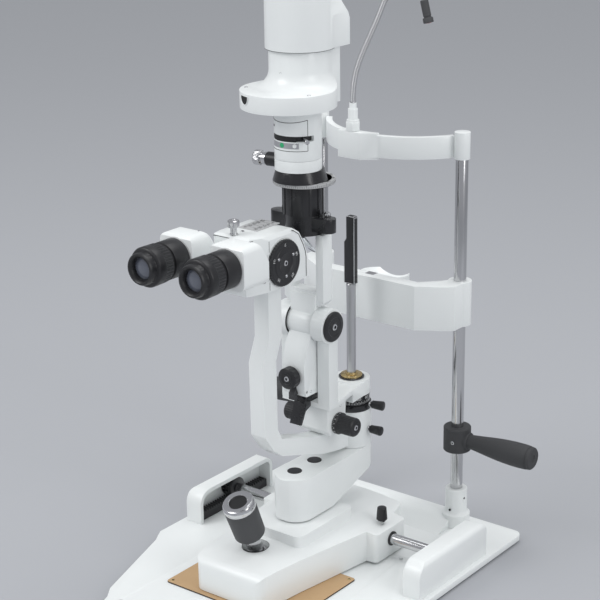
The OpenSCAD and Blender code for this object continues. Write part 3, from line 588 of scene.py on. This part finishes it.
def gooseneck():
    start, middle, end = Vector((-15, 159, 576)), Vector((22, 172, 700)), Vector((62, 200, 704))
    rise, fall = Vector((22, 7, 60)), Vector((7, 0, -26))
    curve = [bezier(start, start + Vector((0, 0, 50)), middle - rise, middle, i / 200) for i in range(200)]
    curve += [bezier(middle, middle + Vector((12, 5, 32)), end - fall * 1.2, end, i / 200)
              for i in range(201)]
    reach, marks = 0.0, [0.0]
    for a, b in zip(curve, curve[1:]):
        reach += (b - a).length
        marks.append(reach)
    pitch, path, radii, s, k = 2.1, [], [], 0.0, 0
    while s <= reach:
        while k < len(marks) - 2 and marks[k + 1] < s:
            k += 1
        f = (s - marks[k]) / (marks[k + 1] - marks[k])
        path.append(curve[k].lerp(curve[k + 1], f))
        phase = (s % pitch) / pitch
        radii.append(3.3 if phase < 0.5 else 2.75)
        s += pitch / 4
    neck = Maker("gooseneck_ribbed", "fixation", "brushed_steel", ["fixation_gooseneck"], 50)
    neck.swept(path, radii, "brushed_steel", 14)
    for i, h in ((0, 1), (len(path) - 1, -1)):
        along = (path[min(i + 1, len(path) - 1)] - path[max(i - 1, 0)]).normalized()
        neck.turned(path[i] - along * 2.2, along,
                    [(0, 0), (3.2, 0), (3.35, 0.4), (3.35, 4), (3, 4.4), (0, 4.4)], "polished_steel", 20)
    neck.done()
    lamp = Maker("fixation_lamp_head", "fixation", "grey_rubber", ["fixation_lamp"])
    along = fall.normalized()
    lamp.turned(end, along,
                [(0, 0), (4.2, 0), (4.9, 0.8), (5, 2), (5, 19.6), (4.4, 20), (4.4, 21), (5.9, 21.6),
                 (6.4, 22.4), (6.4, 27.4), (5.6, 28), (5.2, 28), (5.2, 26.6), (3.6, 28.2), (0, 28.8)],
                "grey_rubber", 32, bands=[(10, 14, "red_lens")])
    lamp.done()


gooseneck()

# ---------- running gear, slide and joystick ----------

shell("wheel_set", 0.35)
shell("slide_base", 3.2, 3)
slide = Maker("slide_details", "slide", "white_paint")
for side in (-1, 1):
    slide.turned((side * 94, 92, 35), (side, 0, 0),
                 [(7.1, -1.6), (9.4, -1.6), (9.4, 0.3), (8.9, 0.8), (7.6, 0.8), (7.1, 0.3)], "black_plastic",
                 48, closed=True)
slide.turned((-4, -64, 59.5), Z, [(16.6, -9), (17.2, -9), (17.2, 0.55), (16.9, 0.8), (16.6, 0.6)],
             "black_plastic", 64, closed=True)
slide.done()


def tapered(name, node, place, axis, r0, r1, height, neck, flutes=0, cap="polished_steel"):
    """A tapered hand knob with fine flutes and a domed end."""
    knob = Maker(name, node_body(node), node_slot(node), [node])
    knob.turned(place, axis,
                [(0, -2), (2.5, -2), (2.5, 0), (r0 * 0.6, 0), (r0 * 0.6, neck), (r0 * 0.8, neck + 0.2),
                 (r0, neck + 1, 0), (r0, neck + 2, 1), (r1, height - 2.2, 1), (r1, height - 1.4, 0),
                 (r1 - 0.5, height - 0.5), (r1 - 1.6, height), (0, height)], None, 40, flutes, 0.05)
    knob.turned(place, axis, [(0, -0.2), (r0 * 0.75, -0.2), (r0 * 0.75, neck * 0.45), (r0 * 0.68, neck * 0.6),
                              (0, neck * 0.6)], cap, 32)
    knob.done()


tapered("slide_lock_knob_fluted", "slide_lock_knob", (80, 88, 58), Z, 7, 6, 19, 1.5, 28)

LEAN = math.radians(23)
STICK = Vector((-4, -61, 50))
STICK_AXIS = Vector((0, -math.sin(LEAN), math.cos(LEAN)))
shell("joystick_gimbal", 0.4)
shell("joystick_stem", 0.6)
stick_screw = Maker("stem_screw", "stick", "black_metal")
stick_face = Vector((0, -math.cos(LEAN), -math.sin(LEAN)))
stick_screw.turned(STICK + STICK_AXIS * 24 + stick_face * 9.2, stick_face,
                   [(0, 0.1), (0.9, 0.1), (1.0, 0.7), (1.55, 0.7), (1.6, 0), (0, 0)], "black_metal", 16)
stick_screw.done()
grip = Maker("joystick_grip_dressed", "grip", "grey_rubber", ["joystick_grip"])
grip.turned(STICK, STICK_AXIS,
            [(7.05, 34), (18.4, 34), (19.2, 34.4), (19.6, 35.4), (20.4, 78.2), (20.3, 79), (7.05, 79)],
            "grey_rubber", 72)
# the hollow in the top of the steel cap is painted shade
grip.turned(STICK, STICK_AXIS,
            [(0, 79), (20.2, 79), (20.5, 79.6), (20.5, 84), (20.1, 86.2), (18.8, 88.2), (17, 89), (12.4, 89),
             (11.4, 88.2), (11, 86), (0, 85.4)], "polished_steel", 72, bands=[(9, 11, "recess")])
grip.turned(STICK, STICK_AXIS, [(12.5, 32.6), (17.6, 32.6), (18.2, 33.2), (18.2, 34.2), (12.5, 34.2)],
            "grey_rubber", 64, closed=True)
grip.done()

# ---------- column ----------

shell("pedestal", 2.4, 3)
shell("pivot_post", 0.5)
column = Maker("column_details", "column", "white_paint")
for y in (15, 56):
    column.turned((-3, y, 132), Z, [(0, -0.6), (9.4, -0.6), (9.4, 0.25), (9, 0.6), (0, 0.75)],
                  "black_plastic", 40)
post = (0, PIVOT_Y, 0)
column.turned(post, Z,
              [(6.1, 223.5), (16.6, 223.5), (16.6, 224.4), (15.8, 225), (12.6, 225), (12.2, 224.6),
               (6.1, 224.6)], "black_metal", 64, closed=True)
column.turned(post, Z, [(6.1, 224), (12.1, 224), (12.1, 226.2), (11.4, 226.9), (8.2, 227.2), (6.1, 227.2)],
              "polished_steel", 64, closed=True)
column.done()

rod = Maker("test_rod_dressed", "rod", "brushed_steel", ["test_rod"])
rod.turned(post, Z,
           [(0, 191), (5.6, 191), (6, 191.6), (6, 345.5), (6.4, 346), (6.4, 349), (5.6, 350), (0, 350)],
           "brushed_steel", 40)
plate = [(-8.3, 350), (7.8, 350), (7.8, 437), (6.4, 439), (-3.6, 439), (-5, 437), (-5, 409.5), (-8.3, 404.5)]
rod.prism((0, PIVOT_Y, 0), X, Z, plate, -4, 4, "black_plastic", 0.9)
rod.done()

# ---------- microscope ----------

shell("microscope_arm", 2.6, 3)
SCOPE_TOP = 469
DRUM_OUT, DRUM_Z = 181, 430
EYE_OFF, EYE_Z = 38, 450.5
PRISM_BACK = 284
POWERS = ("6", "10", "16", "25", "40")
FIELDS = ("32", "20", "13", "8", "5")
shell("microscope_body", 2.4, 3)
head = Maker("microscope_head_details", "microscope", "white_paint")
# the scale plate on top, with its numbered marks
plate_y = arm(DRUM_OUT)
head.prism((0, plate_y, SCOPE_TOP), X, Y, [(-14.5, -21), (14.5, -21), (14.5, 21), (-14.5, 21)], -0.2, 0.75,
           "scale_plate", 0.25, 1)
for k, (power, field) in enumerate(zip(POWERS, FIELDS)):
    y = plate_y - 15.5 + k * 7.8
    head.number(power, (-8, y, SCOPE_TOP + 0.75), X, Y, 3.4, 0.6, "mark_black")
    head.number(field, (7.5, y, SCOPE_TOP + 0.75), X, Y, 3.0, 0.5, "mark_black")
    head.prism((0, y, SCOPE_TOP + 0.75), X, Y, [(-13, 3.6), (13, 3.6), (13, 3.9), (-13, 3.9)], -0.1, 0.06,
               "mark_black")
# the seams between the body and its covers, drawn as lines of painted shade, and a ring round the drum on each
# side
for side in (-1, 1):
    seam = [(136.4, 402), (136.4, 426), (138, 434), (141.6, 442.4), (150, 457), (160, 463.6), (163, 464.6)]
    for a, b in zip(seam, seam[1:]):
        head.swept([(side * 34, arm(a[0]), a[1]), (side * 34, arm(b[0]), b[1])], [0.45, 0.45], "recess", 8)
    head.swept([(side * 34.02, arm(205), 402), (side * 34.02, arm(205), 461)], [0.28, 0.28], "recess", 8)
    head.swept([(side * 28, arm(226.4), 465.6), (side * 24.6, arm(233.6), 465.6)], [0.35, 0.35], "recess", 8)
head.swept([(-26, arm(232.05), 465.6), (26, arm(232.05), 465.6)], [0.4, 0.4], "recess", 8)
for side in (-1, 1):
    head.turned((side * 34, arm(DRUM_OUT), DRUM_Z), (side, 0, 0),
                [(28.6, -0.3), (30.4, -0.3), (30.4, 0.12), (30, 0.3), (28.9, 0.3), (28.6, 0.12)],
                "white_paint", 72, closed=True)
    head.screw((side * 34, arm(214), 415), (side, 0, 0), 2.2, 0.3)
head.screw((0, arm(211), SCOPE_TOP + 0.6), Z, 2.2, 0.3, "polished_steel")
head.done()

shell("objective_lens", 0.6)
lens = Maker("objective_glass", "microscope", "mirror_glass")
lens.turned((0, arm(133), 426), Y,
            [(0, -0.6), (11.6, -0.6), (11.6, 0.6), (10.5, 1.6), (8, 2.3), (4, 2.8), (0, 3)], "lens_glass", 48)
lens.done()

drum = Maker("magnification_drum_dressed", "drum", "black_plastic", ["magnification_drum"])
drum_at = (0, arm(DRUM_OUT), DRUM_Z)
drum.turned(drum_at, X, [(0, -34.2), (17.8, -34.2), (17.8, 34.2), (0, 34.2)], "black_metal", 64)
for side in (-1, 1):
    out = (side, 0, 0)
    drum.turned(drum_at, out,
                [(0, 34.3), (27, 34.3), (28, 34.8, 1), (28, 37.8, 1), (27.2, 38.6), (25.6, 39.2),
                 (24.8, 39.4), (24.2, 38.8), (19.5, 38.8), (18.6, 39.6), (12.4, 40.2), (11.6, 39.6),
                 (10.4, 39.2), (0, 39.2)], "black_plastic", 48, 44, 0.035)
    face = Vector(drum_at) + Vector(out) * 38.8
    for k, figure in enumerate(POWERS):
        a = math.radians(90 + k * 72 * side)
        u = Vector((0, math.cos(a), math.sin(a)))
        spot = face + u * 21.8
        drum.number(figure, spot, u.cross(Vector(out)), u, 3.0, 0.55, "mark_white")
    drum.screw(Vector(drum_at) + Vector(out) * 39.2, out, 3.4, 0.6)
    for k in range(3):
        a = math.radians(30 + 120 * k)
        spot = Vector(drum_at) + Vector(out) * 39.9 + Vector((0, math.cos(a), math.sin(a))) * 15.5
        drum.turned(spot, out, [(0, -0.6), (1.9, -0.6), (1.9, 0.1), (1.5, 0.4), (0, 0.45)], "polished_steel",
                    20)
drum.done()


def prism_box(side):
    name = "right" if side > 0 else "left"
    shell("prism_" + name, 3.0, 3)
    box = Maker("prism_%s_details" % name, name + "_prism", "white_cover")
    place = Vector((side * EYE_OFF, arm(PRISM_BACK), EYE_Z))
    # the grey ring is painted shade, standing for the box's end face in shadow
    box.turned(place, -Y, [(20, -0.6), (23.2, -0.6), (23.2, 0.3), (22.6, 0.9), (21.6, 1.2), (20, 1.2)],
               "scale_plate", 72, closed=True)
    box.screw((side * EYE_OFF + 12, arm(258), 476.4), Z, 1.3, 0.3)
    box.done()


prism_box(1)
prism_box(-1)


def eyepiece(side):
    name = "right" if side > 0 else "left"
    piece = Maker("eyepiece_%s_dressed" % name, name + "_eyepiece", "black_plastic", ["eyepiece_" + name])
    place = Vector((side * EYE_OFF, arm(PRISM_BACK), EYE_Z))
    piece.turned(place, -Y,
                 [(0, 0.4), (21.2, 0.4), (22.3, 1.6), (22.5, 2.6), (22.5, 22.6), (22, 23.8), (20.4, 24.4),
                  (20.2, 27.4), (20.8, 28.0), (22.6, 28.6, 0), (23.2, 29.4, 1), (23.4, 40.5, 1),
                  (23.4, 41.2, 0), (23.5, 42), (23.5, 49.6), (22.9, 51), (21.6, 52), (19.4, 52.4),
                  (18.9, 53.2), (18.9, 57.6), (18.6, 60), (17.6, 61.5), (15.8, 61.8), (14, 60.4),
                  (12.6, 57.4), (12.4, 54.4), (12.4, 53.6)], "black_plastic", 64, 40, 0.03)
    piece.turned(place, -Y, [(0, 53), (12.5, 53), (12.5, 54.4), (10, 55.6), (6, 56.6), (0, 57)], "lens_glass",
                 48)
    piece.done()


eyepiece(1)
eyepiece(-1)

thumb = Maker("thumbscrew_knurled", "thumbscrew", "polished_steel", ["head_thumbscrew"])
thumb.turned((0, arm(227), SCOPE_TOP + 0.3), Z,
             [(0, -4), (2.5, -4), (2.5, 0), (4.6, 0), (4.6, 1.4), (3.9, 2), (3.9, 8.2), (6.6, 9, 0),
              (7.1, 9.8, 1), (7.1, 15.4, 1), (6.7, 16.4, 0), (5.6, 17.4), (3, 17.4), (2.6, 16.9), (0, 16.9)],
             "polished_steel", 48, 32, 0.06)
thumb.done()


def lock_knob(node, height, turn):
    a = math.radians(turn)
    out = Vector((math.cos(a), math.sin(a), 0))
    tapered(node + "_fluted", node, Vector((0, PIVOT_Y, height)) + out * 26, out, 5.2, 6.2, 20, 3, 20)


lock_knob("mic_lock_knob", 156, 3.3)
lock_knob("arm_lock_knob", 189, 10.5)

# ---------- lamp arm ----------

HINGE_OUT, HINGE_Z = 90, 325

shell("lamp_fork", 3.0, 3)
shell("slit_drive", 2.6, 3)
shell("tilt_quadrant", 0.5)
fork = Maker("lamp_arm_details", "lamp_arm", "white_paint")
for side in (-1, 1):
    out = (side, 0, 0)
    # a groove ring of painted shade round each hinge boss
    fork.turned((side * 19.2, arm(HINGE_OUT), HINGE_Z), out,
                [(18.8, -0.2), (21.4, -0.2), (21.4, 0.4), (18.8, 0.4)], "recess", 64, closed=True)
    fork.hole((side * 25, arm(58), 208), out, 1.7)
    fork.prism((side * 37, arm(88), 0), (0, 1, 0), (0, 0, 1),
               [(-9.2, 220), (-8.9, 220), (-8.9, 300), (-9.2, 300)], -0.2, 0.02, "white_paint")
fork.done()

scale = Maker("angle_scale_dressed", "lamp_arm", "black_metal")
scale.turned((0, PIVOT_Y, 0), Z, [(23.05, 190.4), (23.5, 190.4), (23.5, 202.4), (23.05, 202.4)],
             "black_metal", 96, closed=True)
around = range(-150, 151, 5)
scale.ring_marks((0, PIVOT_Y, 191.4), Z, Y * -1, 23.5, around, 0.6,
                 [4.6 if a % 10 == 0 else 3 for a in around], 0.35, "mark_white")
for a in range(-150, 151, 30):
    r = math.radians(a - 90)
    out = Vector((math.cos(r), math.sin(r), 0))
    scale.number(str(abs(a)), Vector((0, PIVOT_Y, 199.4)) + out * 23.5, Z.cross(out), Z, 3.2, 0.45,
                 "mark_white")
scale.ring_marks((0, PIVOT_Y, 182.3), Z, Y * -1, 25.6, [-4, 0, 4], 3.6, 7.2, 0.5, "mark_white")
scale.done()
shell("angle_scale", 0.6)

pin = Maker("hinge_caps", "lamp_arm", "black_plastic", ["hinge_pin"])
pin.turned((-36.9, arm(HINGE_OUT), HINGE_Z), X, [(0, 0), (5, 0), (5, 73.8), (0, 73.8)], "black_plastic", 32)
for side in (-1, 1):
    out = (side, 0, 0)
    place = (side * 37, arm(HINGE_OUT), HINGE_Z)
    pin.turned(place, out,
               [(0, -0.2), (18.2, -0.2), (19, 0.5), (19, 2.2), (18.2, 3.4), (16.8, 4), (12.4, 4), (11.6, 3.5),
                (6.4, 3.5), (5.6, 4), (0, 4)], "black_plastic", 64)
    pin.screw((side * 41, arm(HINGE_OUT), HINGE_Z), out, 4.2, 0.8)
    pin.hole((side * 40.5, arm(HINGE_OUT) - 9, HINGE_Z + 2), out, 1.5)
pin.done()

knobs = Maker("slit_knobs_dressed", "slit_shaft", "black_plastic", ["slit_knobs"])
knobs.turned((-25.2, arm(64), 186), X, [(0, 0), (3, 0), (3, 50.4), (0, 50.4)], "polished_steel", 24)
for side in (-1, 1):
    out = Vector((side, 0, 0))
    place = Vector((side * 25.3, arm(64), 186))
    knobs.turned(place, out,
                 [(0, 0), (13.6, 0), (14, 0.4), (14, 4.6), (13.2, 5.4), (12.4, 5.9), (12.2, 6.4, 0),
                  (12.2, 7.4, 1), (12.2, 25.6, 1), (11.9, 26.8, 0), (10.8, 28.2), (9.4, 28.8), (6.4, 28.8),
                  (6, 28.3), (0, 28.3)], "black_plastic", 48, 30, 0.05)
    knobs.ring_marks(place, out, Z, 14, range(0, 360, 10), 0.6,
                     [2.4 if k % 3 == 0 else 1.6 for k in range(36)], 0.4, "mark_white")
    for k in range(15):
        a = math.radians(k * 24)
        u = Vector((0, -math.sin(a) * side, math.cos(a)))
        knobs.number(str(k), place + out * 3.5 + u * 14, out.cross(u), out, 1.7, 0.32, "mark_white")
    knobs.screw(place + out * 28.2, out, 3.6, 0.7)
knobs.done()

# ---------- tower ----------

APERTURE_Z = 529
FLANGE_R, FLANGE_OUT = 57, 122
DISC_OUT, DISC_Z = 94, 503
HOUSE_OUT = 99

shell("tilt_column", 2.0)
shell("mirror_plate", 0.3)
shell("lens_bracket", 0.7)
tower = Maker("tower_details", "tower", "white_paint")
for side in (-1, 1):
    tower.hole((side * 17, arm(108), 241), (side, 0, 0), 1.7)
tower.turned((0, arm(DISC_OUT), DISC_Z), Z,
             [(18, 0.2), (36.6, 0.2), (37.6, 0.4), (37.7, 1), (37.7, 4.6), (37.2, 5.15), (36, 5.3), (34, 5.3),
              (33.4, 5.0), (18, 5.0)], "scale_plate", 112, closed=True)
tower.ring_marks((0, arm(DISC_OUT), DISC_Z), Z, Y * -1, 37.7, range(-178, 180, 4), 1.0,
                 [4.4 if k % 5 == 0 else 3 for k in range(90)], 0.42, "mark_black")
for a in range(-180, 180, 30):
    r = math.radians(a - 90)
    out = Vector((math.cos(r), math.sin(r), 0))
    spot = Vector((0, arm(DISC_OUT), DISC_Z + 5.3)) + out * 35.2
    tower.number(str(abs(a)), spot, Z.cross(out), out, 1.9, 0.4, "mark_black")
tower.done()
shell("slit_scale", 0.5, finish="black_metal")

shell("filter_housing", 0.5)
house = Maker("housing_details", "tower", "white_cover")
# cover lines, filter slot and a screw head in painted shade, silver band and green mark on the slit housing


def wall_arc(z, angle0, angle1, r, size, finish, steps=18):
    """A thin line on the slit housing's round wall. Angles are counted from the operator toward +X."""
    path = []
    for i in range(steps + 1):
        a = math.radians(angle0 + (angle1 - angle0) * i / steps)
        height = z(i / steps) if callable(z) else z
        path.append((r * math.sin(a), TOWER_Y - r * math.cos(a), height))
    house.swept(path, [size] * len(path), finish, 6)


WALL = 28.3
COVER_LOW, COVER_HIGH, COVER_TURN = 548.6, 585.5, 62


def on_wall(angle, z):
    """A point on the slit housing's round wall, and the way out of the wall there."""
    a = math.radians(angle)
    return Vector((WALL * math.sin(a), TOWER_Y - WALL * math.cos(a), z)), Vector((math.sin(a), -math.cos(a), 0))


wall_arc(lambda t: COVER_HIGH - 3.2 * (1 - (2 * t - 1) ** 2), -COVER_TURN, COVER_TURN, WALL, 0.4, "recess")
wall_arc(COVER_LOW, -COVER_TURN, COVER_TURN, WALL, 0.35, "recess")
for angle in (COVER_TURN, -COVER_TURN):
    house.swept([on_wall(angle, z)[0] for z in (COVER_LOW, COVER_HIGH)], [0.32, 0.32], "recess", 6)


def wall_patch(z0, z1, angle0, angle1, lift, finish, steps=20):
    """A thin curved plate on the slit housing's round wall."""
    inner, outer = WALL - 0.3, WALL + lift
    outline = []
    for r, order in ((outer, range(steps + 1)), (inner, range(steps, -1, -1))):
        for i in order:
            a = math.radians(angle0 + (angle1 - angle0) * i / steps)
            outline.append((r * math.sin(a), TOWER_Y - r * math.cos(a)))
    house.prism((0, 0, 0), X, Y, outline, z0, z1, finish)


wall_patch(559.6, 566.2, -56, 34, -0.24, "recess")
wall_patch(551.5, 558.4, -62, 40, 0.12, "polished_steel")
house.turned(*on_wall(-4, 555), [(0, -0.3), (3.0, -0.3), (3.0, 0.3), (2.6, 0.45), (0, 0.5)], "green_mark", 24)
house.turned(*on_wall(30, 555.4), [(0, -0.3), (2.3, -0.3), (2.3, 1.6), (1.8, 2.1), (0, 2.2)], "white_cover", 24)
house.screw(*on_wall(-40, 576), 1.6, 0.3, "recess")
house.done()

shell("slit_turret", 0.7)
turret = Maker("aperture_sleeve", "turret", "black_plastic")
dial_axis = Vector((-math.cos(math.radians(8)), -math.sin(math.radians(8)), 0))
turret.turned((0, TOWER_Y, APERTURE_Z), dial_axis, [(0, 24), (8.6, 24), (8.6, 41.6), (8.2, 42.2), (0, 42.2)],
              "black_plastic", 40)
turret.done()

ap = Maker("aperture_knob_knurled", "aperture", "polished_steel", ["aperture_knob"])
ap.turned((0, TOWER_Y, APERTURE_Z), dial_axis,
          [(0, 14), (2.4, 14), (2.4, 42.4), (7.2, 42.4), (7.8, 43), (7.8, 46.2), (6.4, 47.2), (6.4, 49.4),
           (8.6, 50.4, 0), (9.2, 51.2, 1), (9.2, 58.4, 1), (8.6, 59.4, 0), (7, 60), (5.6, 59.6), (0, 59.4)],
          "polished_steel", 48, 36, 0.05)
ap.done()

lever = Maker("filter_lever_dressed", "filter", "black_metal", ["filter_lever"])
lever.turned((0, TOWER_Y, 560), Z, [(12.1, 0), (24, 0), (24, 6), (12.1, 6)], "black_metal", 64, closed=True)
la = math.radians(-38)
lever_out = Vector((math.cos(la), math.sin(la), 0))
lever.turned((0, TOWER_Y, 563), lever_out,
             [(0, 20), (2.1, 20), (2.1, 38.6), (1.5, 39.2), (1.5, 40), (2.6, 40.4), (2.8, 41), (2.8, 44.4),
              (2.3, 45), (0, 45)], "black_metal", 28, bands=[(5, 9, "polished_steel")])
lever.done()

for name, side in (("right", 1), ("left", -1)):
    node = "centring_screw_" + name
    screw = Maker(node + "_knurled", name + "_centring", "polished_steel", [node])
    screw.turned((side * 32, arm(91), 464.3), Z,
                 [(0, -7.5), (1.9, -7.5), (1.9, 0), (3.8, 0.1), (4.2, 0.6, 1), (4.2, 3.6, 1), (3.9, 4.1, 0),
                  (2.8, 4.4), (2.6, 5.8), (2.2, 6), (0, 6)], "polished_steel", 32, 18, 0.07)
    screw.done()

shell("lamp_house", 2.6, 3)
shell("lamp_cap", 4.5, 4)
lamp = Maker("lamp_house_details", "tower", "white_cover")
# the window in the flange: a half-round of painted shade behind its rim
wa = math.radians(-24)
window = Vector((FLANGE_R * math.sin(wa), arm(FLANGE_OUT) - FLANGE_R * math.cos(wa), 617.5))
window_out = Vector((math.sin(wa), -math.cos(wa), 0))
across = Z.cross(window_out)
half = [(8 * math.cos(math.radians(t)), 9.4 * math.sin(math.radians(t))) for t in range(180, 361, 12)]
lamp.prism(window, across, Z, half, -1.4, 0.3, "recess", 0.2, 1)
rim = [window + across * (8.4 * math.cos(math.radians(t))) + Z * (9.8 * math.sin(math.radians(t)))
       + window_out * 0.15
       for t in range(180, 361, 9)]
lamp.swept(rim, [0.55] * len(rim), "white_cover", 8)
for angle in (-62, 66):
    a = math.radians(angle)
    spot = Vector((50 * math.sin(a), arm(FLANGE_OUT) - 50 * math.cos(a), 620.8))
    lamp.turned(spot, Z, [(0, -1), (2.2, -1), (2.2, 0.6), (1.8, 0.9), (0, 0.9)], "polished_steel", 20)
lamp.hole((0, arm(HOUSE_OUT) - 37, 640), -Y, 1.6)
# a thin groove ring of painted shade round the lamp house
lamp.turned((0, arm(HOUSE_OUT), 665.75), Z, [(39.9, -0.25), (41.0, -0.25), (41.0, 0.25), (39.9, 0.25)],
            "recess", 80, closed=True)
lamp.done()

tilt = Maker("tilt_knob_fluted", "tilt_lock", "black_plastic", ["tilt_knob"])
tilt.turned((0, arm(121.3), 262), -Y,
            [(0, -9), (3, -9), (3, 0), (6.8, 0), (7, 2.2), (12.4, 2.6), (13.6, 3.2, 0), (14, 3.8, 1),
             (14, 11.6, 1), (13.6, 12.6, 0), (12, 13.8), (7.4, 14.2), (6.8, 13.6), (0, 13.6)],
            "black_plastic", 48, 12, 0.09)
tilt.screw((0, arm(134.8), 262), -Y, 3.6, 0.7)
tilt.done()
shell("tilt_latch", 0.8, finish="grip_rubber")


# ---------- what is left keeps its own shape with rounded edges ----------

covered = {name for name in frame["nodes"] if frame["nodes"][name].hide_render}
for node in sorted(set(frame["nodes"]) - covered):
    shell(node)
